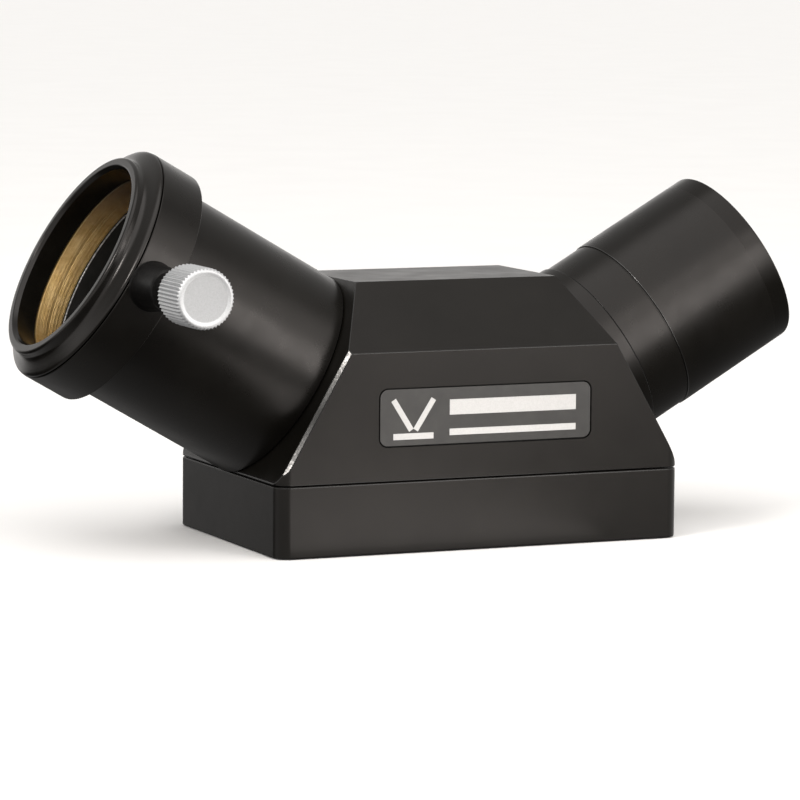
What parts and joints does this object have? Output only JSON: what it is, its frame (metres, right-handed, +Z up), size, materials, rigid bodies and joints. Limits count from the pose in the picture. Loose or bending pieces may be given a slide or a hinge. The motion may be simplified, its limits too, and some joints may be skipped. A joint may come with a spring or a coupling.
{
  "type": "star diagonal",
  "caption": "Telescope star diagonal: two tubes rise from a chamfered housing, one a clamping eyepiece socket with a knurled thumbscrew, the other a plain nosepiece, over a flat mirror.",
  "frame": {"origin": "centre of the base plate's flat underside", "axes": "+Z up; +X towards the nosepiece, -X towards the eyepiece socket, -Y towards the thumbscrew. Both tube axes lie in the plane y = 0, rise 30 degrees above the base, and cross at (0, 0, 18.6 mm) on the mirror's face"},
  "size_m": [0.2191, 0.1051, 0.1033],
  "materials": {
    "black_anodised": "satin black anodised",
    "gloss_black": "polished black anodised",
    "black_screw": "black oxide",
    "brass": "fine turned",
    "silver_knob": "bright, knurled",
    "stainless": "turned",
    "nylon": "natural",
    "silicone": "matte",
    "mirror_coating": "polished dielectric coating on glass",
    "nameplate_black": "gloss black with plain white marks"
  },
  "bodies": {
    "root": {"base_plate": "black_anodised", "housing": "black_anodised", "mirror": "mirror_coating", "mirror_pad_1": "silicone", "mirror_pad_2": "silicone", "mirror_pad_3": "silicone", "base_screw_1": "black_screw", "base_screw_2": "black_screw", "base_screw_3": "black_screw", "base_screw_4": "black_screw", "nameplate": "nameplate_black", "eyepiece_tube": "black_anodised", "clamp_collar": "black_anodised", "front_lip_ring": "gloss_black", "screw_boss": "black_screw", "nosepiece_flange": "black_anodised", "nosepiece_barrel": "black_anodised"},
    "clamp_ring": {"brass_clamp_ring": "brass"},
    "screw_tip": {"thumbscrew_tip": "nylon"},
    "thumbscrew": {"thumbscrew_shank": "stainless", "thumbscrew_knob": "silver_knob"}
  },
  "joints": [
    {"name": "clamp_ring_shift", "type": "slide", "parent": "root", "child": "clamp_ring", "axis": [0, 1, 0], "range_m": [0, 0.0005]},
    {"name": "thumbscrew_advance", "type": "slide", "parent": "root", "child": "screw_tip", "axis": [0, -1, 0], "range_m": [-0.0005, 0.0024]},
    {"name": "thumbscrew_turn", "type": "hinge", "parent": "screw_tip", "child": "thumbscrew", "pos_m": [-0.09132, 0, 0.07132], "axis": [0, -1, 0], "range_deg": [-210, 1080]}
  ],
  "couplings": [
    {"joint": "thumbscrew_advance", "follows": "thumbscrew_turn", "m_per_rad": 0.00012634}
  ]
}
